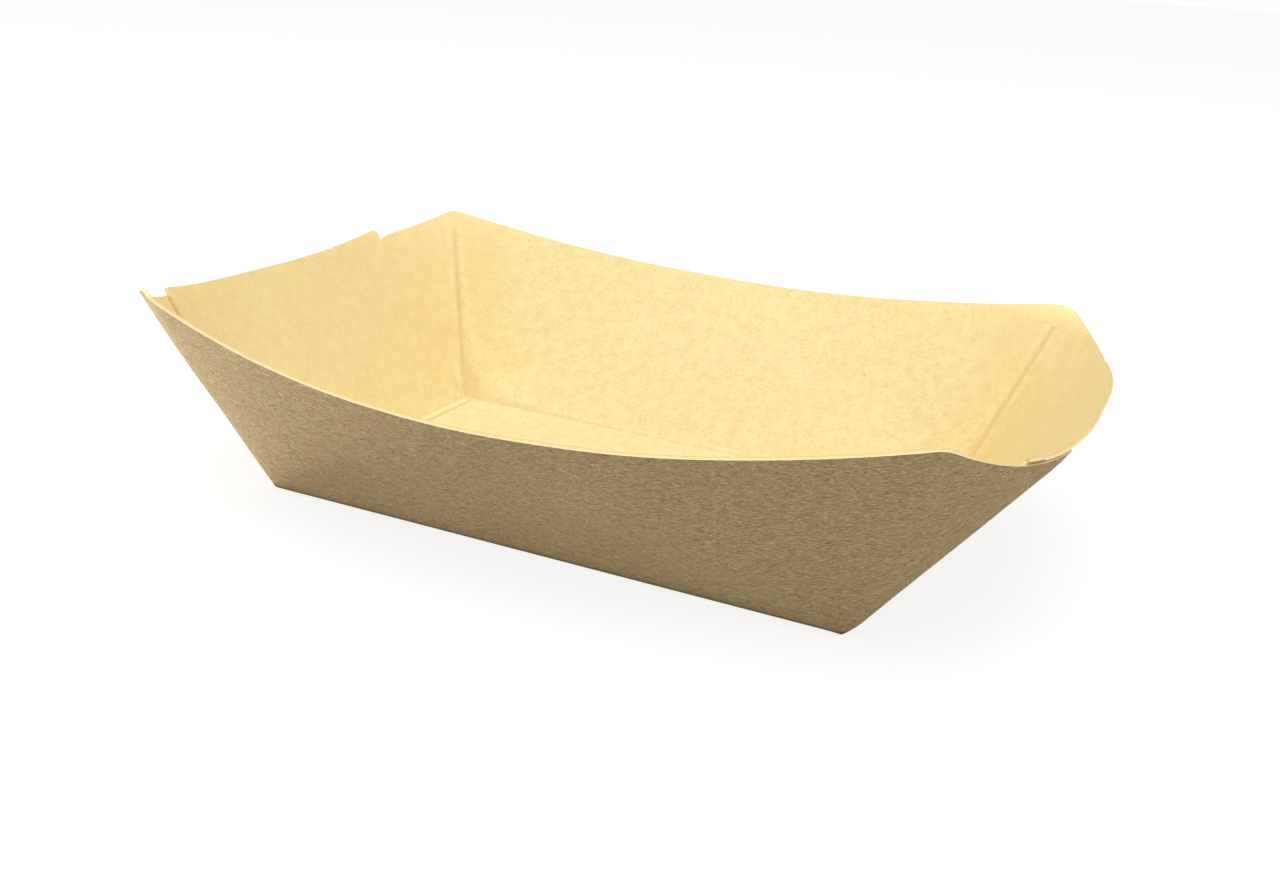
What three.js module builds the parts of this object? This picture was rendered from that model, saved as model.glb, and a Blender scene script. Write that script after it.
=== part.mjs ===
// Paper food tray, in millimetres, +Z up, standing on its floor with the origin under the floor's middle.
// It is one sheet of kraft board, cut, folded and glued. The floor carries two long walls and two end panels.
// Each long wall runs on round a soft crease at its two corners and becomes a wing across the end. The end panel
// folds up inside the two wings and is glued to them, so an end is two boards thick where they lap.
// Board only bends one way at a time, so every wall is flat over the middle of its fold and, towards each corner
// of the floor, part of a cone with its tip in that corner. All free edges are set by the curve of the rim.

import * as THREE from 'three';
import { mergeVertices } from 'three/addons/utils/BufferGeometryUtils.js';

// Board
const board = 0.5;
const foldRadius = 0.8; // outside of the folds round the floor
const creaseWidth = 3.9; // length of rim that bends round each corner

// Floor, between its fold lines
const floorLength = 88;
const floorWidth = 51.7;

// Tips of the four corners, on the outside of the board
const tipSpanLength = 111.7;
const tipSpanWidth = 79.4;
const tipHeight = 30.9;

// Rim of the long walls: how far its middle lies below the tips, and bows out past a straight slope
const longDip = 6.6;
const longBow = 11;

// Rim of the ends, the same, with the powers that shape the two curves
const endDip = 5.2;
const endBow = 12.8;
const endDipPower = 4;
const endBowPower = 3;

// The end panels stand a little above or below the wings' rim there: how far, in the middle of each end
const rightMidRise = 1.1;
const leftMidRise = -0.9;

// The four corners in order round the tray, with x and y for the side that each is on. panelEdge and wingEnd are
// how far the panel's side edge and the wing's end are from the middle line, at the rim. panelRise is how far the
// panel's corner stands above the wing. The hand-folded tray has them a little apart from each other.
const corners = [
  { x: 1, y: -1, panelEdge: 28.4, panelRise: 0.4, wingEnd: 10, midRise: rightMidRise },
  { x: 1, y: 1, panelEdge: 23.9, panelRise: 0.5, wingEnd: 15, midRise: rightMidRise },
  { x: -1, y: 1, panelEdge: 25.8, panelRise: 1.5, wingEnd: 12.5, midRise: leftMidRise },
  { x: -1, y: -1, panelEdge: 27.2, panelRise: 0.3, wingEnd: 12.5, midRise: leftMidRise },
];

// Number of steps that each stretch of the rim, and each fold, is drawn with
const longSteps = 14;
const creaseSteps = 8;
const endStepLength = 2.6;
const foldSteps = 4;
const mergeDistance = 1e-4;

const halfLength = floorLength / 2;
const halfWidth = floorWidth / 2;
const tipX = tipSpanLength / 2;
const tipY = tipSpanWidth / 2;

// Rim of half a long wall in the quarter x > 0, y > 0, from the wall's middle (t = 0) to the tip (t = 1)
class LongRim extends THREE.Curve {
  getPoint(t, target = new THREE.Vector3()) {
    const arch = 1 - t ** 2;
    const z = tipHeight - longDip * arch;
    const slope = (tipY - halfWidth) / tipHeight;
    return target.set(tipX * t, halfWidth + slope * z + longBow * arch, z);
  }
}

// Rim of half an end in the same quarter, from the tip (t = 0) to the end's middle (t = 1)
class EndRim extends THREE.Curve {
  getPoint(t, target = new THREE.Vector3()) {
    const share = 1 - t;
    const z = tipHeight - endDip * (1 - share ** endDipPower);
    const slope = (tipX - halfLength) / tipHeight;
    const x = halfLength + slope * z + endBow * (1 - share ** endBowPower);
    return target.set(x, tipY * share, z);
  }
}

const longRim = new LongRim();
const endRim = new EndRim();
const bottomCorner = new THREE.Vector3(halfLength, halfWidth, 0);

// Angle between the floor and the flat middle of a wall whose rim's middle is given
function wallAngle(rimMiddle, outward, foldDistance) {
  return Math.atan2(rimMiddle.z, rimMiddle.dot(outward) - foldDistance);
}

const longAngle = wallAngle(longRim.getPoint(0), new THREE.Vector3(0, 1, 0), halfWidth);
const endAngle = wallAngle(endRim.getPoint(1), new THREE.Vector3(1, 0, 0), halfLength);

// How far inside the outer fold line a layer at this depth in the wall meets the level z
function foldInset(depth, z, angle) {
  return (depth - z * Math.cos(angle)) / Math.sin(angle);
}

// Where the cones of each layer start: the wall and wing outside, the panel outside, the wall inside and the
// panel inside
const innerY = halfWidth - foldInset(board, board, longAngle);
const wallOuterTip = bottomCorner;
const panelOuterTip = new THREE.Vector3(halfLength - foldInset(board, 0, endAngle), innerY, 0);
const wallInnerTip = new THREE.Vector3(halfLength - foldInset(board, board, endAngle), innerY, board);
const panelInnerTip = new THREE.Vector3(halfLength - foldInset(2 * board, board, endAngle), innerY, board);

// Corners of the flat parts of the floor, under it and on it, where its folds begin to bend
const outerSetback = foldRadius * Math.tan(endAngle / 2);
const innerSetback = (foldRadius - board) * Math.tan(endAngle / 2);
const floorUnder = new THREE.Vector3(panelOuterTip.x - outerSetback, halfWidth - outerSetback, 0);
const floorTop = new THREE.Vector3(panelInnerTip.x - innerSetback, innerY - innerSetback, board);

// Points of one fold, from the floor to the start of the wall that goes on to rimPoint
function foldPoints(floorPoint, tip, rimPoint, setback) {
  const along = rimPoint.clone().sub(tip).normalize();
  const wallStart = tip.clone().addScaledVector(along, (setback * Math.sin(endAngle)) / along.z);
  return new THREE.QuadraticBezierCurve3(floorPoint, tip, wallStart).getPoints(foldSteps);
}

// One section through the board along a straight line of the wall, from under the floor's middle, over the rim
// to the top of the floor's middle. layers is wall, lap (wing over panel) or panel. All have as many points.
function section(rimPoint, rimTangent, layers, rise = 0) {
  const along = rimPoint.clone().sub(bottomCorner).normalize();
  const inward = along.clone().cross(rimTangent).normalize();
  if (inward.z < 0) inward.negate();
  const wingInside = rimPoint.clone().addScaledVector(inward, board);
  const panelOutside = wingInside.clone().addScaledVector(along, rise);
  const panelInside = panelOutside.clone().addScaledVector(inward, board);
  const lower = rise < 0 ? panelOutside : wingInside;
  const edges = {
    wall: [rimPoint, wingInside, lower, lower],
    lap: [rimPoint, wingInside, panelOutside, panelInside],
    panel: [lower, lower, panelOutside, panelInside],
  }[layers];
  const outerTip = layers === 'panel' ? panelOuterTip : wallOuterTip;
  const innerTip = layers === 'wall' ? wallInnerTip : panelInnerTip;
  return [
    new THREE.Vector3(0, 0, 0),
    ...foldPoints(floorUnder, outerTip, edges[0], outerSetback),
    ...edges,
    ...foldPoints(floorTop, innerTip, edges[3], innerSetback).reverse(),
    new THREE.Vector3(0, 0, board),
  ];
}

// Sections at even steps of a curve between two of its parameters
function sectionsAlong(curve, from, to, steps, layers, riseAt = () => 0) {
  return Array.from({ length: steps + 1 }, (unused, i) => {
    const t = from + ((to - from) * i) / steps;
    return section(curve.getPoint(t), curve.getTangent(t), layers, riseAt(t));
  });
}

// All sections of one quarter of the tray, from the middle of its long wall to the middle of its end
function quarterSections(corner) {
  const longTrim = longRim.getUtoTmapping(0, longRim.getLength() - creaseWidth / 2);
  const endTrim = endRim.getUtoTmapping(0, creaseWidth / 2);
  const crease = new THREE.QuadraticBezierCurve3(
    longRim.getPoint(longTrim),
    longRim.getPoint(1),
    endRim.getPoint(endTrim),
  );
  const panelAt = 1 - corner.panelEdge / tipY;
  const wingAt = 1 - corner.wingEnd / tipY;
  const riseAt = (t) => corner.midRise + (corner.panelRise - corner.midRise) * ((1 - t) / (1 - panelAt)) ** 2;
  const stepsOver = (from, to) => Math.max(1, Math.round(((to - from) * tipY) / endStepLength));
  return [
    ...sectionsAlong(longRim, 0, longTrim, longSteps, 'wall'),
    ...sectionsAlong(crease, 0, 1, creaseSteps, 'wall'),
    ...sectionsAlong(endRim, endTrim, panelAt, stepsOver(endTrim, panelAt), 'wall'),
    ...sectionsAlong(endRim, panelAt, wingAt, stepsOver(panelAt, wingAt), 'lap', riseAt),
    ...sectionsAlong(endRim, wingAt, 1, stepsOver(wingAt, 1), 'panel', riseAt),
  ];
}

// The quarter's sections mirrored into the place of its corner. Two of the four run the other way round the tray.
function placedSections(corner) {
  const mirror = new THREE.Vector3(corner.x, corner.y, 1);
  const placed = quarterSections(corner).map((points) => points.map((point) => point.clone().multiply(mirror)));
  return corner.x * corner.y < 0 ? placed : placed.reverse();
}

// Skin stretched over a closed ring of sections that all have as many points
function skinOver(sections) {
  const count = sections[0].length;
  const positions = sections.flat().flatMap((point) => point.toArray());
  const indices = [];
  sections.forEach((unused, i) => {
    const here = i * count;
    const next = ((i + 1) % sections.length) * count;
    for (let j = 0; j < count - 1; j += 1) {
      indices.push(here + j, next + j, here + j + 1);
      indices.push(next + j, next + j + 1, here + j + 1);
    }
  });
  const geometry = new THREE.BufferGeometry();
  geometry.setAttribute('position', new THREE.Float32BufferAttribute(positions, 3));
  geometry.setIndex(indices);
  return withoutEmptyFaces(mergeVertices(geometry, mergeDistance));
}

// Drops the triangles that merging has left with fewer than three different corners
function withoutEmptyFaces(geometry) {
  const index = geometry.getIndex().array;
  const kept = [];
  for (let i = 0; i < index.length; i += 3) {
    const [a, b, c] = index.slice(i, i + 3);
    if (a !== b && b !== c && c !== a) kept.push(a, b, c);
  }
  geometry.setIndex(kept);
  geometry.computeVertexNormals();
  return geometry;
}

const kraftBoard = new THREE.MeshStandardMaterial({ color: 0xd9c393, roughness: 0.9, metalness: 0 });
const tray = new THREE.Mesh(skinOver(corners.flatMap(placedSections)), kraftBoard);
tray.name = 'tray';

const paperFoodTray = new THREE.Group();
paperFoodTray.add(tray);

export default paperFoodTray;
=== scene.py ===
import math

import bpy
import numpy as np
from mathutils import Color, Matrix, Vector


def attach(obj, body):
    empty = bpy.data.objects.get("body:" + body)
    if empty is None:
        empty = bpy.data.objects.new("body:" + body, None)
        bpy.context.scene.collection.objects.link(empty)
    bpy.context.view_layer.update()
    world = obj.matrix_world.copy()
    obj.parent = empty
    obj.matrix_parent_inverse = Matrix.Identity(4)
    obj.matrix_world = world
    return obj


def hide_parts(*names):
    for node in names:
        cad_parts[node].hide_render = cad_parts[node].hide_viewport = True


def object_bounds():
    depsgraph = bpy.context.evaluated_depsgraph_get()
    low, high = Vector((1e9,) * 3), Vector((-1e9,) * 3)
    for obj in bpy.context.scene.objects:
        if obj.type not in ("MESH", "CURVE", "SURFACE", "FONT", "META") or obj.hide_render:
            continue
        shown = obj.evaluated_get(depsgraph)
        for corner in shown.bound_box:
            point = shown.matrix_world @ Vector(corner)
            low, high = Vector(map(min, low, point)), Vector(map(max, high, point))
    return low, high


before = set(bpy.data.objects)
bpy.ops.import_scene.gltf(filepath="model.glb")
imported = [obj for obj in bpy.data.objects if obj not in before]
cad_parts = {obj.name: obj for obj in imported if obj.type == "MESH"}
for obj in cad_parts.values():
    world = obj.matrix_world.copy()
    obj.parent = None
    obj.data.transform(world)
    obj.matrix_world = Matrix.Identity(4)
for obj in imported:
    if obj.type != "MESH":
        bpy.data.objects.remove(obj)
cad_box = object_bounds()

# Paper food tray: one sheet of kraft board, cut, folded and glued. Its sizes are in millimetres and become
# metres when the mesh is made. The board is drawn as in the CAD source, with the small marks of cutting and
# folding added. Each quarter of the tray is drawn where x and y are positive and mirrored into its place.
MM = 0.001


def colour(red, green, blue):
    """A colour given as it shows on a screen, 0 to 255."""
    return (*Color((red / 255, green / 255, blue / 255)).from_srgb_to_scene_linear(), 1.0)


def grey(value):
    return (value, value, value, 1.0)


# Board and folds, and half the floor's size between its fold lines
BOARD = 0.5
FOLD_RADIUS = 0.8
HALF_LENGTH = 44.0
HALF_WIDTH = 25.85

# Rim: place of a corner's tip, how far the middle of each side dips below it and bows out, and how far the
# end panels stand above the wings' rim in the middle of each end
TIP = np.array([55.85, 39.7, 30.9])
LONG_DIP = 6.6
LONG_BOW = 11.0
END_DIP = 5.2
END_BOW = 12.8
END_DIP_POWER = 4
END_BOW_POWER = 3
RIGHT_MID_RISE = 1.1
LEFT_MID_RISE = -0.9

# What a corner has unless it says otherwise
# tip_trim, tip_width: how far the rim is cut lower at the tip, and over what length
# wing_trim, trim_start: how far it is cut lower up to the panel's edge, and from how far past the tip
# thin: how much of the wing's thickness is pressed away along its rim
# bulge: how far the end stands out past the CAD's along its rim, beyond the corner
# curl: how far the tip is bent inward
# foot: how far the floor's corner is moved, away from the middle in x and in y
# notch: extra depth of the wing's rim at the panel's edge
# torn: whether the panel's rim is torn off low from a little beyond its corner on
# seam_line: whether painted shadow, a dark line, shows beside the panel's side edge
PLAIN_CORNER = dict(
    tip_trim=0.0, tip_width=1.0, wing_trim=0.0, trim_start=0.0, thin=0.0, bulge=0.0, curl=0.0,
    foot=(0.0, 0.0), notch=0.0, torn=False, seam_line=False,
)

# The four corners in order round the tray, with the sizes of the CAD source, a few a little changed, and
# crease_width: length of rim that bends round the corner
# panel_round: radius of the panel's top corner
# press: share of the panel's thickness that is pressed flat at its side edge
# crease_line: depth of the line scored inside the corner
CORNERS = (
    dict(
        PLAIN_CORNER, x=1, y=-1, panel_edge=28.4, panel_rise=0.45, wing_end=16.5, mid_rise=RIGHT_MID_RISE,
        crease_width=2.6, panel_round=0.1, press=0.85, crease_line=0.02,
        thin=0.3, bulge=0.2, foot=(-0.6, 0.2), torn=True,
    ),
    dict(
        PLAIN_CORNER, x=1, y=1, panel_edge=23.9, panel_rise=0.5, wing_end=15.0, mid_rise=RIGHT_MID_RISE,
        crease_width=3.0, panel_round=0.3, press=0.8, crease_line=0.09,
        tip_trim=0.25, tip_width=1.8, wing_trim=-0.2, trim_start=-0.5, notch=0.75,
    ),
    dict(
        PLAIN_CORNER, x=-1, y=1, panel_edge=26.3, panel_rise=1.5, wing_end=12.5, mid_rise=LEFT_MID_RISE,
        crease_width=2.4, panel_round=0.9, press=0.5, crease_line=0.06, notch=0.65,
    ),
    dict(
        PLAIN_CORNER, x=-1, y=-1, panel_edge=27.2, panel_rise=0.3, wing_end=12.5, mid_rise=LEFT_MID_RISE,
        crease_width=4.6, panel_round=0.2, press=0.6, crease_line=0.02,
        tip_trim=0.75, tip_width=2.4, wing_trim=0.85, trim_start=4.8, curl=0.7, seam_line=True,
    ),
)

# Marks of cutting: where along the rim, or over what length, each one starts and ends, and how far the
# panel's rim stands over the wing's where it is torn
NOTCH_WIDTH = 1.1
WING_TRIM_RAMP = 2.0
WING_TRIM_END = 3.0
WING_END_BLEND = 13.0
TORN_RISE = 0.24
TORN_START = 3.4
TORN_START_RAMP = 0.3
TORN_END = 15.0
TORN_END_RAMP = 3.0

# Marks of handling: lengths along the rim, how far down the wing it is thinner, and how far a moved foot
# reaches
CURL_WIDTH = 3.0
CURL_POWER = 6
RIM_RAMP = 9.0
THIN_DEPTH = 1.5
BULGE_FADE = 7.0
PRESS_WIDTH = 0.6
FOOT_REACH = 2.8

# Small shapes of the board: waves of the walls, the bead and groove inside the folds, fainter on the long
# ones, the lines inside the corners, and the gaps beside the panels' side edges
WAVE_SEED = 11
WAVE_COUNT = 14
WAVE_HEIGHT = 0.16
WAVE_LENGTHS = (14.0, 38.0)
WAVE_FADE = 8.0
BEAD_HEIGHT = 0.13
BEAD_WIDTH = 0.45
GROOVE_DEPTH = 0.08
GROOVE_PLACE = -0.95
GROOVE_WIDTH = 0.3
LONG_FOLD_SHARE = 0.22
CREASE_LINE_WIDTH = 0.3
CREASE_LINE_START = 3.4
CREASE_LINE_RAMP = 2.0
CREASE_LINE_FOOT = 3.0
SEAM_GROOVE_DEPTH = 0.12
SEAM_GROOVE_WIDTH = 0.14
SEAM_GROOVE_FOOT = 5.0

# The distance that stands for no crease, fold or seam near by, and the depth up to which a line scored in a
# corner gets no painted shade down it and no painted highlight beside it
FAR = 9.0
FAINT_LINE = 0.03

# How finely the mesh is drawn: samples and steps along the rim, then rows of points as shares of the way
# from the floor's middle to its edge, up a wall, and across a cut edge. Points that round to the same place
# are joined, faces that meet at more than the sharp angle keep an edge, and no real length is as small as
# TINY.
RIM_SAMPLES = 1500
BEND_SAMPLES = 150
STATION_STEP = 0.9
CREASE_STEPS = 24
SEAM_STEPS = (0.08, 0.16, 0.28, 0.45, 0.7)
FOLD_STEPS = 5
FLOOR_RINGS = np.array([0, 0.35, 0.65, 0.85, 0.93, 0.95, 0.963, 0.971, 0.979, 0.986, 0.991, 0.996])
FOOT_ROWS = [0, 0.005, 0.01, 0.016, 0.023, 0.031, 0.04, 0.055]
WALL_ROWS = np.linspace(0.08, 0.95, 18)
RIM_ROWS = [0.97, 0.985, 0.995, 1]
ROWS = np.concatenate([FOOT_ROWS, WALL_ROWS, RIM_ROWS])
EDGE_SHARES = np.array([0.0, 0.12, 0.5, 0.88, 1.0])
JOIN_DIGITS = 5
SHARP_ANGLE = math.radians(38)
TINY = 1e-6

# Colours of the brown outside
BROWN_BOARD = colour(189, 160, 115)
BROWN_PATCH = colour(186, 166, 117)
BROWN_CLOUD = colour(160, 133, 94)
BROWN_PALE_FIBRE = colour(231, 209, 164)
BROWN_DARK_FIBRE = colour(126, 100, 70)
BROWN_SPECK = colour(92, 62, 38)
BROWN_FLECK = colour(235, 214, 172)
# Painted shade along the bottom folds: a dark line on the fold's curve, then a fainter darkening of the
# wall's foot
BROWN_FOLD_SHADE = colour(104, 82, 55)
BROWN_FOOT_SHADE = colour(120, 97, 66)

# Colours of the pale inside
PALE_BOARD = colour(244, 221, 160)
PALE_CLOUD = colour(251, 235, 176)
PALE_GRAIN = colour(254, 244, 194)
PALE_SHADE = colour(234, 205, 140)
PALE_SPECK = colour(170, 130, 74)
# Painted shade towards the ends of the tray
PALE_END_SHADE = colour(247, 214, 147)
# Painted shade down the corner creases
PALE_CREASE_SHADE = colour(206, 170, 112)
# Painted highlight beside the corner creases, where their bead is lit
PALE_CREASE_HIGHLIGHT = colour(255, 243, 190)
# Painted shadow in the gap along a panel's side edge
PALE_SEAM_SHADOW = colour(152, 112, 60)
# Painted highlight on the bead along the end folds
PALE_BEAD_HIGHLIGHT = colour(255, 244, 186)
# Painted shade in the groove beside that bead
PALE_GROOVE_SHADE = colour(200, 164, 104)

# Colours of the cut edge
CUT_DARK = colour(234, 207, 146)
CUT_LIGHT = colour(249, 229, 168)
CUT_OUTER = colour(252, 238, 192)
CUT_INNER = colour(220, 188, 131)

# Painted shade: the ends are drawn a little darker and warmer than the long walls, for the lower light in
# the corners. Where that starts and where it is full, from the end folds
END_SHADE_START = -4.0
END_SHADE_FULL = 6.0

# Camera at the photograph's viewing angle
CAMERA_PLACE = Vector((81.861, -175.373, 77.360)) * MM
CAMERA_AZIMUTH = math.radians(24.227)
CAMERA_HEIGHT = math.radians(19.722)
CAMERA_ROLL = math.radians(3.681)
CAMERA_LENS = 38.55
CAMERA_CLIP_START = 5 * MM

# Floor and surroundings. The floor lies just under the tray. Its grey has one value for the light that it
# sends back to the tray and one for what the camera sees, where a glow makes it white but for the shadow.
STAGE_RADIUS = 8.0
STAGE_DROP = 0.05 * MM
FLOOR_BOUNCE = 0.37
FLOOR_SHADOW = 0.24
FLOOR_GLOW = 0.84
WORLD_LIGHT = 0.5
WHITE = grey(1.0)

# Soft lamps, aimed at the tray: place, width and height in metres, and power
LAMPS = dict(
    overhead=dict(place=(0.08, -0.3, 1.15), width=0.8, height=0.8, power=7.9),
    front=dict(place=(-0.1, -0.9, 0.12), width=0.5, height=0.2, power=0.84),
    left=dict(place=(-0.6, -0.1, 0.01), width=0.5, height=0.016, power=4.9),
    right=dict(place=(0.8, -0.2, 0.02), width=0.3, height=0.03, power=1.2),
)

# Layers of the board at a place of the rim, and the sides that the board shows
WALL, LAP, PANEL = range(3)
OUTSIDE, INSIDE, EDGE = range(3)
UP = np.array([0.0, 0.0, 1.0])


def unit(vectors):
    return vectors / np.linalg.norm(vectors, axis=-1, keepdims=True)


def bump(distance, width):
    """1 at no distance, falling smoothly to nothing over a few widths."""
    return np.exp(-((distance / width) ** 2))


def smooth(value):
    """0 up to 0, 1 from 1 on, and an even curve between."""
    value = np.clip(value, 0, 1)
    return value * value * (3 - 2 * value)


def bezier(a, b, c, steps):
    q = np.asarray(steps)[:, None]
    return (1 - q) ** 2 * a + 2 * q * (1 - q) * b + q**2 * c


def arc_lengths(points):
    return np.concatenate([[0], np.cumsum(np.linalg.norm(np.diff(points, axis=0), axis=1))])


def long_rim(t):
    """Rim of half a long wall where x and y are positive, from its middle (0) to the tip (1)."""
    arch = 1 - t**2
    z = TIP[2] - LONG_DIP * arch
    slope = (TIP[1] - HALF_WIDTH) / TIP[2]
    return np.stack([TIP[0] * t, HALF_WIDTH + slope * z + LONG_BOW * arch, z], -1)


def end_rim(t):
    """Rim of half an end, from the tip (0) to the end's middle (1)."""
    share = 1 - t
    z = TIP[2] - END_DIP * (1 - share**END_DIP_POWER)
    slope = (TIP[0] - HALF_LENGTH) / TIP[2]
    x = HALF_LENGTH + slope * z + END_BOW * (1 - share**END_BOW_POWER)
    return np.stack([x, TIP[1] * share, z], -1)


class Rim:
    """The outer rim of one quarter by distance along it, and the board's directions there."""

    def __init__(self, crease_width):
        t = np.linspace(0, 1, RIM_SAMPLES)
        wall, end = long_rim(t), end_rim(t)
        wall_arc = arc_lengths(wall)
        wall = wall[wall_arc < wall_arc[-1] - crease_width / 2]
        end = end[arc_lengths(end) > crease_width / 2]
        bend = bezier(wall[-1], TIP, end[0], np.linspace(0, 1, BEND_SAMPLES))[1:-1]
        points = np.concatenate([wall, bend, end])
        self.points = points
        self.arc = arc_lengths(points)
        self.crease_start = self.arc[len(wall) - 1]
        self.crease_end = self.arc[len(wall) + len(bend)]
        self.crease_middle = (self.crease_start + self.crease_end) / 2
        self.along = unit(points - np.array([HALF_LENGTH, HALF_WIDTH, 0]))
        inward = unit(np.cross(self.along, np.gradient(points, axis=0)))
        self.inward = inward * np.sign(inward[:, 2:])

    def at(self, values, arc):
        return np.array([np.interp(arc, self.arc, values[:, k]) for k in range(3)])

    def arc_at_end(self, y):
        """Distance along the rim at which the end's rim is this far from the middle line."""
        end = self.arc > self.crease_end
        return np.interp(-y, -self.points[end, 1], self.arc[end])


class Face:
    """One face of a wall's board: flat over the middle of its fold, then a cone with its tip in the corner.

    across is the axis along the fold and out the one away from it. The face follows the rim's points from
    start on.
    """

    def __init__(self, rim, tip, depth, across, start=None):
        self.tip, self.across, self.out = tip, across, 1 - across
        points = (rim.points + depth * rim.inward)[start:]
        if across == 1:
            points = points[::-1]
        rays = points - tip
        self.ratio = rays[:, across] / rays[:, 2]
        self.slope = rays[:, self.out] / rays[:, 2]
        turn = np.arccos(np.clip(np.sum(unit(rays[1:]) * unit(rays[:-1]), axis=1), -1, 1))
        first = math.atan2(math.hypot(rays[0, 2], rays[0, self.out]), -rays[0, across])
        self.angle = first + np.concatenate([[0], np.cumsum(turn)])

    def ratio_of(self, points):
        """How far along the fold each point lies from the tip, for each millimetre of height."""
        height = np.maximum(points[:, 2] - self.tip[2], TINY)
        return (points[:, self.across] - self.tip[self.across]) / height

    def seat(self, points):
        """Moves points, given by their place along the fold and height, out onto the face."""
        slope = np.interp(self.ratio_of(points), self.ratio, self.slope)
        points[:, self.out] = self.tip[self.out] + (points[:, 2] - self.tip[2]) * slope
        return points

    def unfold(self, points):
        """Places of the points in the flat sheet that the tray was folded from."""
        rays = points - self.tip
        ratio = self.ratio_of(points)
        over_fold = np.arctan2(np.hypot(rays[:, 2], rays[:, self.out]), -rays[:, self.across])
        angle = np.where(ratio < self.ratio[0], over_fold, np.interp(ratio, self.ratio, self.angle))
        reach = np.linalg.norm(rays, axis=1)
        flat = np.zeros((len(points), 2))
        flat[:, self.across] = self.tip[self.across] - reach * np.cos(angle)
        flat[:, self.out] = self.tip[self.out] + reach * np.sin(angle)
        return flat


def fold_inset(depth, z, angle):
    """How far inside the outer fold line a layer at this depth in the wall meets the level z."""
    return (depth - z * math.cos(angle)) / math.sin(angle)


# Angles between the floor and the flat middles of the walls, and where the long folds lie inside
LONG_ANGLE = math.atan2(long_rim(0)[2], long_rim(0)[1] - HALF_WIDTH)
END_ANGLE = math.atan2(end_rim(1)[2], end_rim(1)[0] - HALF_LENGTH)
INNER_Y = HALF_WIDTH - fold_inset(BOARD, BOARD, LONG_ANGLE)


def fold_corner(depth, z, y):
    return np.array([HALF_LENGTH - fold_inset(depth, z, END_ANGLE), y, z])


# Where the cones of each layer start, and the corners of the flat parts of the floor, under it and on it
OUTER_SETBACK = FOLD_RADIUS * math.tan(END_ANGLE / 2)
INNER_SETBACK = (FOLD_RADIUS - BOARD) * math.tan(END_ANGLE / 2)
WALL_OUTER_TIP = np.array([HALF_LENGTH, HALF_WIDTH, 0.0])
WALL_INNER_TIP = fold_corner(BOARD, BOARD, INNER_Y)
PANEL_OUTER_TIP = fold_corner(BOARD, 0.0, INNER_Y)
PANEL_INNER_TIP = fold_corner(2 * BOARD, BOARD, INNER_Y)
FLOOR_UNDER = np.array([PANEL_OUTER_TIP[0] - OUTER_SETBACK, HALF_WIDTH - OUTER_SETBACK, 0.0])
FLOOR_TOP = np.array([PANEL_INNER_TIP[0] - INNER_SETBACK, INNER_Y - INNER_SETBACK, BOARD])


class Profile:
    """Points of one face from the floor's middle, over the fold and up a wall, with what is known of each.

    flat is their place in the flat sheet, share how far they are up the wall, and from_fold their distance
    from the fold, negative on the floor.
    """

    def __init__(self, face, fold, top, inward, floor_corner, setback):
        foot = fold[2] + setback * math.sin(END_ANGLE)
        heights = foot + (top[2] - foot) * ROWS
        share = (heights - fold[2]) / (top[2] - fold[2])
        wall = fold + (top - fold) * share[:, None]
        if np.linalg.norm(fold - face.tip) > TINY:
            wall = face.seat(wall)
        wall_flat = face.unfold(wall)
        floor_edge = floor_corner.copy()
        floor_edge[face.across] *= fold[face.across] / face.tip[face.across]
        floor = floor_edge * FLOOR_RINGS[:, None]
        floor[:, 2] = floor_edge[2]
        q = np.linspace(0, 1, FOLD_STEPS + 1)[:-1]
        in_fold = bezier(floor_edge, fold, wall[0], q)
        in_fold_flat = bezier(floor_edge[:2], fold[:2], wall_flat[0], q)
        self.points = np.concatenate([floor, in_fold, wall])
        self.flat = np.concatenate([floor[:, :2], in_fold_flat, wall_flat])
        self.share = np.concatenate([np.zeros(len(floor) + len(q)), share])
        turned = np.concatenate([np.zeros(len(floor)), np.linspace(0, 1, len(q)), np.ones(len(wall))])
        self.normal = unit(UP * (1 - turned[:, None]) + inward * turned[:, None])
        rise = (heights - fold[2]) / math.sin(END_ANGLE)
        inside_fold = floor[:, face.out] - fold[face.out]
        self.from_fold = np.concatenate([inside_fold, (q - 0.5) * 2 * setback, rise])


class Waves:
    """Slow waves of the board, always inward of the true surface."""

    def __init__(self, seed):
        random = np.random.default_rng(seed)
        direction = unit(random.normal(size=(WAVE_COUNT, 3)))
        self.numbers = direction * (2 * math.pi / random.uniform(*WAVE_LENGTHS, WAVE_COUNT))[:, None]
        self.phases = random.uniform(0, 2 * math.pi, WAVE_COUNT)

    def at(self, points):
        waves = np.sin(points @ self.numbers.T + self.phases).sum(axis=1) / math.sqrt(WAVE_COUNT)
        return WAVE_HEIGHT * (0.5 + 0.5 * np.clip(waves, -1, 1))


WAVES = Waves(WAVE_SEED)


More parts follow.
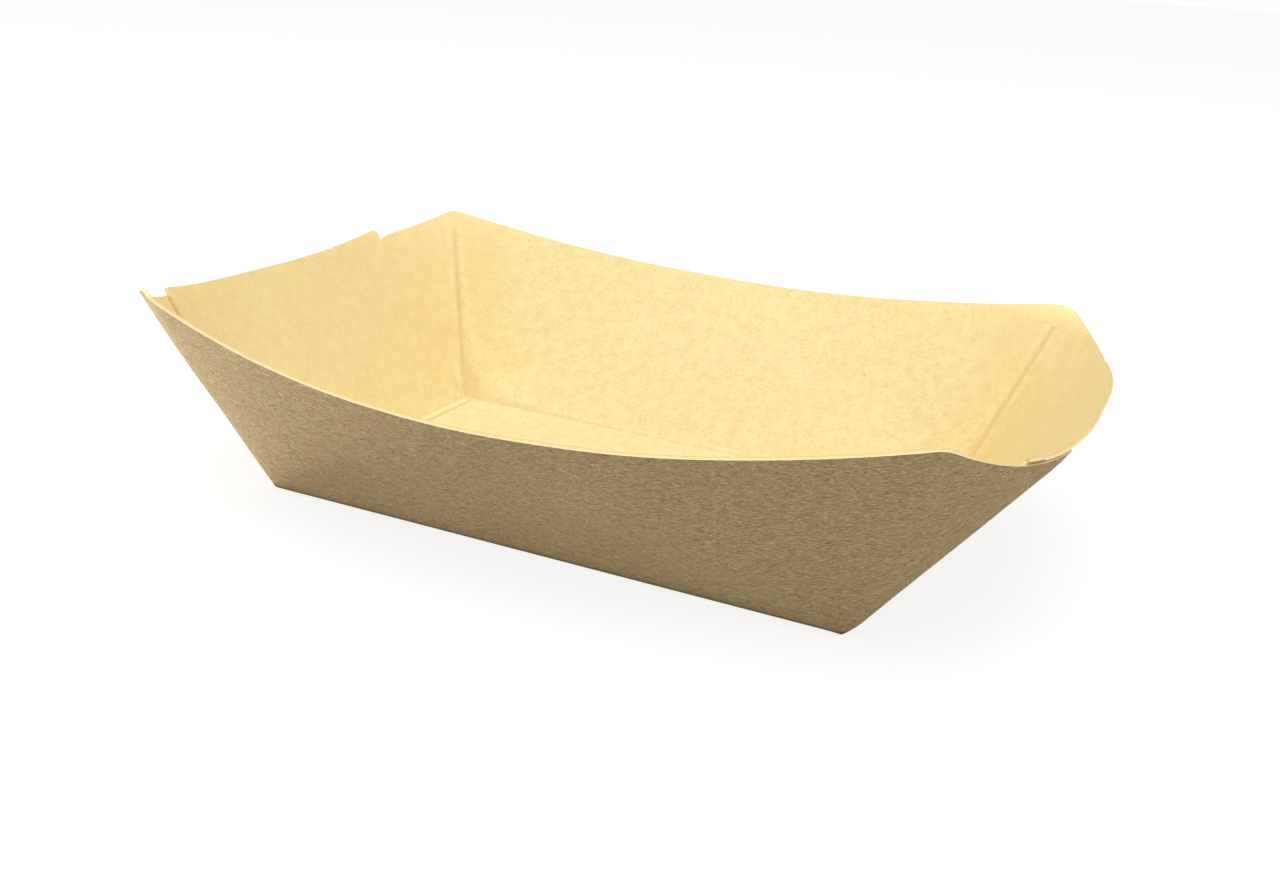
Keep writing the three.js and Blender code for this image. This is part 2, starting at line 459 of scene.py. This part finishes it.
class Quarter:
    """One quarter of the tray, from the middle of its long wall to the middle of its end."""

    def __init__(self, corner):
        self.corner = corner
        self.mirror = np.array([corner["x"], corner["y"], 1.0])
        rim = Rim(corner["crease_width"])
        self.rim = rim
        self.panel_arc = rim.arc_at_end(corner["panel_edge"])
        self.wing_arc = rim.arc_at_end(corner["wing_end"])
        middle = int(np.searchsorted(rim.arc, rim.crease_middle))
        self.wall_outer = Face(rim, WALL_OUTER_TIP, 0, 0)
        self.wall_inner = Face(rim, WALL_INNER_TIP, BOARD, 0)
        self.panel_outer = Face(rim, PANEL_OUTER_TIP, BOARD, 1, middle)
        self.panel_inner = Face(rim, PANEL_INNER_TIP, 2 * BOARD, 1, middle)

    def panel_rise(self, arc):
        """Height of the panel's rim over the CAD's rim of the wing."""
        corner = self.corner
        inside = arc - self.panel_arc
        share = (self.rim.arc[-1] - arc) / (self.rim.arc[-1] - self.panel_arc)
        rise = corner["mid_rise"] + (corner["panel_rise"] - corner["mid_rise"]) * share**2
        radius = corner["panel_round"]
        if inside < radius:
            rise -= radius - math.sqrt(radius**2 - (radius - inside) ** 2)
        torn = smooth((inside - TORN_START) / TORN_START_RAMP) * smooth((TORN_END - inside) / TORN_END_RAMP)
        torn *= corner["torn"]
        return rise * (1 - torn) + TORN_RISE * torn

    def wing_trim(self, arc):
        """How far the rim of the long wall and wing is cut below the CAD's.

        Where the panel's rim is lower than the wing's, the wing comes down to it towards its end.
        """
        corner, rim = self.corner, self.rim
        past_tip = arc - rim.crease_middle
        past_panel = arc - self.panel_arc
        trim = corner["tip_trim"] * bump(past_tip, corner["tip_width"])
        after_tip = smooth((past_tip - corner["trim_start"]) / WING_TRIM_RAMP)
        trim += corner["wing_trim"] * after_tip * smooth((WING_TRIM_END - past_panel) / WING_TRIM_END)
        trim += corner["notch"] * bump(past_panel, NOTCH_WIDTH)
        above_panel = max(-self.panel_rise(max(arc, self.panel_arc)), 0)
        return trim + above_panel * smooth(1 - (self.wing_arc - arc) / WING_END_BLEND)

    def rim_edges(self, arc, layers, along, inward):
        """The wing's top at one place of the rim, and both sides of the wing's and of the panel's cut edge.

        Where there is no wing or no panel, both sides of its edge are in one point.
        """
        start = self.rim.at(self.rim.points, arc)
        trim = self.wing_trim(arc)
        rise = self.panel_rise(arc) if layers != WALL else 0
        top = start - trim * along
        wing_inside = top + BOARD * inward
        panel_outside = start + BOARD * inward + rise * along
        pressed = self.corner["press"] * bump(arc - self.panel_arc, PRESS_WIDTH)
        panel_inside = panel_outside + BOARD * (1 - pressed) * inward
        lower = panel_outside if layers != WALL and rise < -trim else wing_inside
        wing_edge = (lower, lower) if layers == PANEL else (top, wing_inside)
        panel_edge = (lower, lower) if layers == WALL else (panel_outside, panel_inside)
        return top, wing_edge, panel_edge

    def profiles(self, arc, layers, outer_top, inner_top, inward):
        """The board's outer and inner face at one place of the rim."""
        rim = self.rim
        to_corner = np.array([min(arc / rim.crease_start, 1), 1, 1])
        to_middle = rim.arc[-1] - arc
        if layers == PANEL:
            outer_face = self.panel_outer
            outer_fold = PANEL_OUTER_TIP * np.array([1, to_middle / (rim.arc[-1] - self.wing_arc), 1])
        else:
            outer_face = self.wall_outer
            outer_fold = WALL_OUTER_TIP * to_corner
        if layers == WALL:
            inner_face = self.wall_inner
            inner_fold = WALL_INNER_TIP * to_corner
        else:
            inner_face = self.panel_inner
            inner_fold = PANEL_INNER_TIP * np.array([1, to_middle / (rim.arc[-1] - self.panel_arc), 1])
        outer = Profile(outer_face, outer_fold, outer_top, inward, FLOOR_UNDER, OUTER_SETBACK)
        inner = Profile(inner_face, inner_fold, inner_top, inward, FLOOR_TOP, INNER_SETBACK)
        return outer, inner

    def score(self, inner, arc, layers):
        """Adds the fold's bead and groove, the line down the corner and the gap beside the panel's edge."""
        corner, rim = self.corner, self.rim
        strength = LONG_FOLD_SHARE if layers == WALL and arc < rim.crease_middle else 1
        bead = BEAD_HEIGHT * bump(inner.from_fold, BEAD_WIDTH)
        groove = GROOVE_DEPTH * bump(inner.from_fold - GROOVE_PLACE, GROOVE_WIDTH)
        offset = strength * (bead - groove)
        from_crease = (arc - rim.crease_middle) * inner.share
        from_seam = (arc - self.panel_arc) * inner.share
        if layers == WALL:
            slant = np.linalg.norm(inner.points[-1] - WALL_INNER_TIP)
            reach = inner.share * slant
            line = corner["crease_line"] * bump(from_crease, CREASE_LINE_WIDTH)
            from_start = slant - reach - CREASE_LINE_START
            offset -= line * smooth(from_start / CREASE_LINE_RAMP) * smooth(reach / CREASE_LINE_FOOT)
            seam = SEAM_GROOVE_DEPTH * bump(from_seam, SEAM_GROOVE_WIDTH)
            offset -= seam * (1 - corner["press"]) * smooth(reach / SEAM_GROOVE_FOOT)
        else:
            on_wall = inner.share > 0
            flattened = BOARD * corner["press"] * bump(from_seam, PRESS_WIDTH)
            offset[on_wall] -= (flattened * (1 - inner.share))[on_wall]
        inner.points += inner.normal * offset[:, None]

    def handled(self, points, share, slant, arc, inward):
        """The points with the foot moved, the board's waves, the tip's curl and the end's bulge."""
        corner, rim = self.corner, self.rim
        from_corner = np.linalg.norm(points - WALL_OUTER_TIP, axis=1)
        near_corner = np.maximum(1 - from_corner / FOOT_REACH, 0) ** 2
        points = points + near_corner[:, None] * np.array([*corner["foot"], 0])
        waves = WAVES.at(points * self.mirror) * smooth(share * slant / WAVE_FADE)
        curl = corner["curl"] * bump(arc - rim.crease_middle, CURL_WIDTH) * share**CURL_POWER
        to_middle = rim.arc[-1] - arc
        bulge = corner["bulge"] * smooth((arc - rim.crease_end) / RIM_RAMP) * smooth(to_middle / BULGE_FADE)
        shift = waves + curl - bulge * share
        return points + shift[:, None] * inward

    def distances(self, inner, share, slant, arc, layers):
        """How far each point is from the corner's crease, an end's fold and the panel's side edge.

        The long folds get no painted highlight or shade, so near them the distance is just far, on either
        side.
        """
        corner, rim = self.corner, self.rim
        crease, fold, seam = (np.full(len(share), FAR) for _ in range(3))
        lined = (share > 0) & ((1 - share) * slant > CREASE_LINE_START)
        if corner["crease_line"] > FAINT_LINE:
            crease[lined] = np.abs(arc - rim.crease_middle) * share[lined]
        if layers == WALL and corner["seam_line"]:
            seam[share > 0] = np.abs(arc - self.panel_arc) * share[share > 0]
        on_long_wall = np.where(inner.from_fold < 0, -FAR, FAR)
        from_fold = inner.from_fold if arc > rim.crease_middle else on_long_wall
        fold[-len(inner.points):] = np.clip(from_fold, -FAR, FAR)[::-1]
        return np.column_stack([crease, fold, seam])

    def section(self, arc, layers):
        """Points round the board at one place of the rim, from under the floor's middle to the top of it.

        With each goes its place in the flat sheet and depth in the board, and its distances from the marks.
        """
        along = unit(self.rim.at(self.rim.along, arc))
        inward = unit(self.rim.at(self.rim.inward, arc))
        top, wing_edge, panel_edge = self.rim_edges(arc, layers, along, inward)
        outer, inner = self.profiles(arc, layers, wing_edge[0], panel_edge[1], inward)
        self.score(inner, arc, layers)
        slant = np.linalg.norm(top - WALL_OUTER_TIP)
        if layers != PANEL:
            thin = self.corner["thin"] * smooth((arc - self.rim.crease_end) / RIM_RAMP)
            pressed = thin * bump((1 - outer.share) * slant, THIN_DEPTH)
            outer.points += pressed[:, None] * inward

        shares = EDGE_SHARES[:, None]
        edges = [a + (b - a) * shares for a, b in ((outer.points[-1], wing_edge[1]), panel_edge)]
        edges = np.concatenate([edges[0][1:], edges[1][:-1]])
        points = np.concatenate([outer.points, edges, inner.points[::-1]])
        share = np.concatenate([outer.share, np.ones(len(edges)), inner.share[::-1]])
        points = self.handled(points, share, slant, arc, inward)

        edges_flat = np.repeat(outer.flat[-1:], len(edges), axis=0)
        flat = np.concatenate([outer.flat, edges_flat, inner.flat[::-1]])
        edge_depths = np.concatenate([EDGE_SHARES[1:], EDGE_SHARES[:-1]]) * BOARD
        depth = np.concatenate([np.zeros(len(outer.flat)), edge_depths, np.full(len(inner.flat), BOARD)])
        sheet = np.column_stack([flat * self.mirror[:2], depth])
        return points * self.mirror, sheet, self.distances(inner, share, slant, arc, layers)

    def stations(self):
        """Places along the rim with their layers, close together round the crease and the panel's edge."""
        rim = self.rim

        def between(a, b):
            return list(np.linspace(a, b, max(2, int(round((b - a) / STATION_STEP)) + 1)))

        before = [self.panel_arc - step for step in SEAM_STEPS[::-1]]
        beyond = [self.panel_arc + step for step in SEAM_STEPS]
        wall = between(0, rim.crease_start)
        wall += list(np.linspace(rim.crease_start, rim.crease_end, CREASE_STEPS + 1)[1:])
        wall += between(rim.crease_end, before[0])[1:] + before[1:] + [self.panel_arc]
        lap = [self.panel_arc] + beyond + between(beyond[-1], self.wing_arc)[1:]
        panel = between(self.wing_arc, rim.arc[-1])
        return [(a, WALL) for a in wall] + [(a, LAP) for a in lap] + [(a, PANEL) for a in panel]

    def sections(self):
        """All sections of the quarter, in order round the tray."""
        made = [self.section(arc, layers) for arc, layers in self.stations()]
        return made if self.corner["x"] * self.corner["y"] < 0 else made[::-1]


def kind_of_row(row, outer_rows, inner_start):
    """The side of the board that the faces after this row are on, outside also between the two boards."""
    between_boards = outer_rows - 1 + len(EDGE_SHARES) - 1
    if row < outer_rows - 1 or row == between_boards:
        return OUTSIDE
    return EDGE if row < inner_start else INSIDE


def tray_mesh():
    """Skins the ring of sections and joins points that coincide."""
    ring = [section for corner in CORNERS for section in Quarter(corner).sections()]
    count = len(ring[0][0])
    points, sheet, marks = (np.concatenate([s[k] for s in ring]) for k in range(3))
    rounded = np.round(points, JOIN_DIGITS)
    _, first, joined = np.unique(rounded, axis=0, return_index=True, return_inverse=True)
    joined = joined.reshape(-1)
    outer_rows = len(FLOOR_RINGS) + FOLD_STEPS + len(ROWS)
    inner_start = count - outer_rows
    faces, kinds = [], []
    for i in range(len(ring)):
        here, after = i * count, (i + 1) % len(ring) * count
        for j in range(count - 1):
            loop = [joined[k] for k in (here + j, after + j, after + j + 1, here + j + 1)]
            loop = [v for k, v in enumerate(loop) if v != loop[k - 1]]
            if len(set(loop)) < 3:
                continue
            faces.append(loop)
            kinds.append(kind_of_row(j, outer_rows, inner_start))
    return points[first], sheet[first], marks[first], faces, kinds


class Nodes:
    """A short way to lay out the nodes of a material."""

    def __init__(self, tree):
        self.tree = tree

    def give(self, socket, value):
        """Links the socket to another, or sets its value."""
        if isinstance(value, bpy.types.NodeSocket):
            self.tree.links.new(value, socket)
        else:
            socket.default_value = value

    def node(self, kind, inputs=None, **settings):
        made = self.tree.nodes.new("ShaderNode" + kind)
        for name, value in settings.items():
            setattr(made, name, value)
        for name, value in (inputs or {}).items():
            self.give(made.inputs[name], value)
        return made

    def math(self, operation, a, b=0.0):
        return self.node("Math", {0: a, 1: b}, operation=operation).outputs[0]

    def attribute(self, name):
        return self.node("Attribute", attribute_name=name).outputs["Vector"]

    def parts(self, vector):
        return self.node("SeparateXYZ", {0: vector}).outputs

    def noise(self, vector, scale, detail, roughness, distortion=0.0, stretch=None, turn=0.0):
        """Noise of this scale per millimetre, made finer along each axis by stretch, and turned."""
        if stretch:
            placed = self.node("Mapping", {"Vector": vector, "Scale": stretch, "Rotation": (0, 0, turn)})
            vector = placed.outputs[0]
        inputs = {"Vector": vector, "Scale": scale, "Detail": detail, "Roughness": roughness}
        return self.node("TexNoise", {**inputs, "Distortion": distortion}).outputs[0]

    def remap(self, value, low, high, to_low=0.0, to_high=1.0, **settings):
        inputs = {"Value": value, "From Min": low, "From Max": high, "To Min": to_low, "To Max": to_high}
        return self.node("MapRange", inputs, **settings).outputs[0]

    def mix(self, share, a, b):
        made = self.node("Mix", data_type="RGBA")
        for name, value in (("Factor", share), ("A", a), ("B", b)):
            self.give([s for s in made.inputs if s.name == name and s.enabled][0], value)
        return [s for s in made.outputs if s.enabled][0]

    def tint(self, base, tint, pattern, low, high, strength=1.0):
        """Lays a tint over the base, none where the pattern is at low and this strength of it at high."""
        return self.mix(self.remap(pattern, low, high, to_high=strength), base, tint)

    def near(self, value, place, width, strength=1.0):
        """This strength at the place, falling smoothly to 0 at the width from it."""
        away = self.math("ABSOLUTE", self.math("SUBTRACT", value, place))
        return self.remap(away, 0.0, width, strength, 0.0, interpolation_type="SMOOTHSTEP")

    def line(self, base, tint, distance, place, width, strength=1.0):
        """Lays a soft line of a tint over the base, where a distance is near this place."""
        return self.mix(self.near(distance, place, width, strength), base, tint)

    def seen(self):
        """1 for what the camera sees, mirrored or through glass too, and 0 for the light on the tray."""
        rays = self.node("LightPath").outputs
        seen = self.math("MAXIMUM", rays["Is Camera Ray"], rays["Is Glossy Ray"])
        return self.math("MAXIMUM", seen, rays["Is Transmission Ray"])

    def finish(self, surface, base, relief, strength, height, roughness, specular):
        """Gives a surface its colour and gloss and, from the relief, a bump of this height."""
        raised = self.node("Bump", {"Height": relief, "Strength": strength, "Distance": height}).outputs[0]
        self.give(surface.inputs["Base Color"], base)
        self.give(surface.inputs["Normal"], raised)
        self.give(surface.inputs["Roughness"], roughness)
        self.give(surface.inputs["Specular IOR Level"], specular)


def new_material(name):
    material = bpy.data.materials.new(name)
    material.use_nodes = True
    surface = material.node_tree.nodes["Principled BSDF"]
    return material, Nodes(material.node_tree), surface


def outside_material():
    """Brown board with clouds, fibres along the tray, specks and flecks, and painted shade along the long
    folds.
    """
    material, nodes, surface = new_material("kraft_outside")
    sheet = nodes.attribute("sheet")
    patches = nodes.noise(sheet, scale=0.11, detail=3.0, roughness=0.6)
    base = nodes.tint(BROWN_BOARD, BROWN_PATCH, patches, low=0.4, high=0.6)
    clouds = nodes.noise(sheet, scale=0.8, detail=3.0, roughness=0.6, stretch=(0.5, 1.0, 1.0))
    base = nodes.tint(base, BROWN_CLOUD, clouds, low=0.35, high=0.65, strength=0.6)
    fibres = nodes.noise(
        sheet, scale=1.0, detail=4.0, roughness=0.68, distortion=0.8, stretch=(1.0, 7.5, 7.5), turn=0.06
    )
    base = nodes.tint(base, BROWN_PALE_FIBRE, fibres, low=0.47, high=0.66)
    dark_fibres = nodes.noise(
        sheet, scale=1.0, detail=4.0, roughness=0.65, distortion=0.9, stretch=(1.6, 5.0, 5.0), turn=-0.1
    )
    base = nodes.tint(base, BROWN_DARK_FIBRE, dark_fibres, low=0.5, high=0.3)
    specks = nodes.noise(sheet, scale=1.6, detail=1.0, roughness=0.4, stretch=(1.2, 2.2, 2.2), turn=0.3)
    base = nodes.tint(base, BROWN_SPECK, specks, low=0.72, high=0.76)
    flecks = nodes.noise(sheet, scale=1.9, detail=1.0, roughness=0.4, stretch=(0.8, 3.2, 3.2), turn=-0.2)
    base = nodes.tint(base, BROWN_FLECK, flecks, low=0.7, high=0.76)
    # Painted shade at the bottom fold, darkest on its curve and fainter over the wall's foot
    across = nodes.math("ABSOLUTE", nodes.parts(sheet)[1])
    base = nodes.line(base, BROWN_FOLD_SHADE, across, place=HALF_WIDTH, width=1.5, strength=0.95)
    base = nodes.line(base, BROWN_FOOT_SHADE, across, place=HALF_WIDTH, width=4.0, strength=0.25)
    nodes.finish(surface, base, fibres, strength=0.5, height=0.06 * MM, roughness=0.85, specular=0.25)
    return material


def inside_material():
    """Pale board with clouds, grain and specks, with painted shade towards the ends, painted shade and
    highlight at the creases and folds, and painted shadow at the seams.
    """
    material, nodes, surface = new_material("kraft_inside")
    sheet = nodes.attribute("sheet")
    clouds = nodes.noise(sheet, scale=0.5, detail=4.0, roughness=0.62, distortion=0.3)
    base = nodes.tint(PALE_BOARD, PALE_CLOUD, clouds, low=0.36, high=0.64)
    grain = nodes.noise(sheet, scale=1.7, detail=3.0, roughness=0.6, stretch=(0.7, 1.3, 1.0))
    base = nodes.tint(base, PALE_GRAIN, grain, low=0.42, high=0.7, strength=0.55)
    shade = nodes.noise(sheet, scale=2.6, detail=2.0, roughness=0.5, stretch=(0.8, 1.6, 1.0), turn=0.2)
    base = nodes.tint(base, PALE_SHADE, shade, low=0.45, high=0.25, strength=0.5)
    specks = nodes.noise(sheet, scale=2.4, detail=1.0, roughness=0.4)
    base = nodes.tint(base, PALE_SPECK, specks, low=0.75, high=0.79, strength=0.6)
    # Painted shade, darker and warmer towards the ends
    along = nodes.math("ABSOLUTE", nodes.parts(sheet)[0])
    start, full = HALF_LENGTH + END_SHADE_START, HALF_LENGTH + END_SHADE_FULL
    base = nodes.tint(base, PALE_END_SHADE, along, low=start, high=full, strength=0.42)
    crease, fold, seam = nodes.parts(nodes.attribute("marks"))
    # Painted shade down the scored line in each corner
    base = nodes.line(base, PALE_CREASE_SHADE, crease, place=0.0, width=0.8, strength=0.28)
    # Painted highlight in soft blotches beside each corner crease, where the bead catches the light
    highlight_blotches = nodes.noise(sheet, scale=0.9, detail=2.0, roughness=0.5)
    beside_crease = nodes.near(crease, place=1.1, width=0.9)
    crease_highlight = nodes.math("MULTIPLY", beside_crease, nodes.remap(highlight_blotches, low=0.48, high=0.6, to_high=0.6))
    base = nodes.mix(crease_highlight, base, PALE_CREASE_HIGHLIGHT)
    # Painted shadow along the gap at the panel's side edge
    base = nodes.line(base, PALE_SEAM_SHADOW, seam, place=0.0, width=0.45, strength=0.9)
    # Painted highlight on the fold's bead and painted shade in the groove beside it, at the end folds only
    base = nodes.line(base, PALE_BEAD_HIGHLIGHT, fold, place=0.15, width=0.5)
    base = nodes.line(base, PALE_GROOVE_SHADE, fold, place=GROOVE_PLACE, width=0.35, strength=0.6)
    nodes.finish(surface, base, grain, strength=0.4, height=0.08 * MM, roughness=0.8, specular=0.3)
    return material


def edge_material():
    """The cut edge, in fine layers, palest along the outside and darkest along the inside."""
    material, nodes, surface = new_material("kraft_cut_edge")
    sheet = nodes.attribute("sheet")
    layers = nodes.noise(sheet, scale=1.6, detail=3.0, roughness=0.6, stretch=(1.2, 1.2, 9.0))
    base = nodes.tint(CUT_DARK, CUT_LIGHT, layers, low=0.35, high=0.65)
    depth = nodes.parts(sheet)[2]
    base = nodes.line(base, CUT_OUTER, depth, place=0.06, width=0.12)
    base = nodes.line(base, CUT_INNER, depth, place=BOARD, width=0.11)
    nodes.finish(surface, base, layers, strength=0.6, height=0.08 * MM, roughness=0.95, specular=0.2)
    return material


def add_tray():
    """The board as one mesh, held inside the CAD's box, with a material for each side and the cut edge."""
    points, sheet, marks, faces, kinds = tray_mesh()
    points = np.clip(points, np.array(cad_box[0]) / MM, np.array(cad_box[1]) / MM)
    mesh = bpy.data.meshes.new("tray_board")
    mesh.from_pydata((points * MM).tolist(), [], faces)
    mesh.update()
    for name, values in (("sheet", sheet), ("marks", marks)):
        attribute = mesh.attributes.new(name, "FLOAT_VECTOR", "POINT")
        attribute.data.foreach_set("vector", values.astype(np.float32).ravel())
    for material in (outside_material(), inside_material(), edge_material()):
        mesh.materials.append(material)
    mesh.polygons.foreach_set("material_index", kinds)
    mesh.shade_smooth()
    mesh.set_sharp_from_angle(angle=SHARP_ANGLE)
    tray = bpy.data.objects.new("tray_board", mesh)
    bpy.context.scene.collection.objects.link(tray)
    return tray


def add_camera():
    data = bpy.data.cameras.new("camera")
    data.lens = CAMERA_LENS
    data.clip_start = CAMERA_CLIP_START
    camera = bpy.data.objects.new("camera", data)
    bpy.context.scene.collection.objects.link(camera)
    turn = (
        Matrix.Rotation(CAMERA_AZIMUTH, 4, "Z")
        @ Matrix.Rotation(math.radians(90) - CAMERA_HEIGHT, 4, "X")
        @ Matrix.Rotation(CAMERA_ROLL, 4, "Z")
    )
    camera.matrix_world = Matrix.Translation(CAMERA_PLACE) @ turn
    bpy.context.scene.camera = camera


def add_floor():
    """A pale floor. The camera sees it white, with the tray's shadow on it."""
    r, z = STAGE_RADIUS, -STAGE_DROP
    data = bpy.data.meshes.new("floor")
    data.from_pydata([(-r, -r, z), (r, -r, z), (r, r, z), (-r, r, z)], [], [(0, 1, 2, 3)])
    floor = bpy.data.objects.new("floor", data)
    bpy.context.scene.collection.objects.link(floor)
    material, nodes, surface = new_material("floor")
    seen = nodes.seen()
    nodes.give(surface.inputs["Base Color"], nodes.mix(seen, grey(FLOOR_BOUNCE), grey(FLOOR_SHADOW)))
    nodes.give(surface.inputs["Emission Color"], WHITE)
    nodes.give(surface.inputs["Emission Strength"], nodes.math("MULTIPLY", seen, FLOOR_GLOW))
    nodes.give(surface.inputs["Roughness"], 1.0)
    nodes.give(surface.inputs["Specular IOR Level"], 0.0)
    data.materials.append(material)


def add_world():
    """Even light from all round, which the camera sees as white."""
    world = bpy.data.worlds.new("world")
    bpy.context.scene.world = world
    world.use_nodes = True
    nodes = Nodes(world.node_tree)
    background = world.node_tree.nodes["Background"]
    nodes.give(background.inputs["Color"], WHITE)
    nodes.give(background.inputs["Strength"], nodes.remap(nodes.seen(), 0.0, 1.0, WORLD_LIGHT, 1.0))


def add_lamp(name, place, width, height, power):
    data = bpy.data.lights.new(name, "AREA")
    data.shape = "RECTANGLE"
    data.size = width
    data.size_y = height
    data.energy = power
    lamp = bpy.data.objects.new(name, data)
    bpy.context.scene.collection.objects.link(lamp)
    lamp.location = place
    lamp.rotation_euler = Vector(place).to_track_quat("Z", "Y").to_euler()


tray = add_tray()
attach(tray, "root")
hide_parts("tray")

add_camera()
add_floor()
add_world()
for name, lamp in LAMPS.items():
    add_lamp(name, **lamp)

bpy.context.scene.view_settings.view_transform = "Standard"
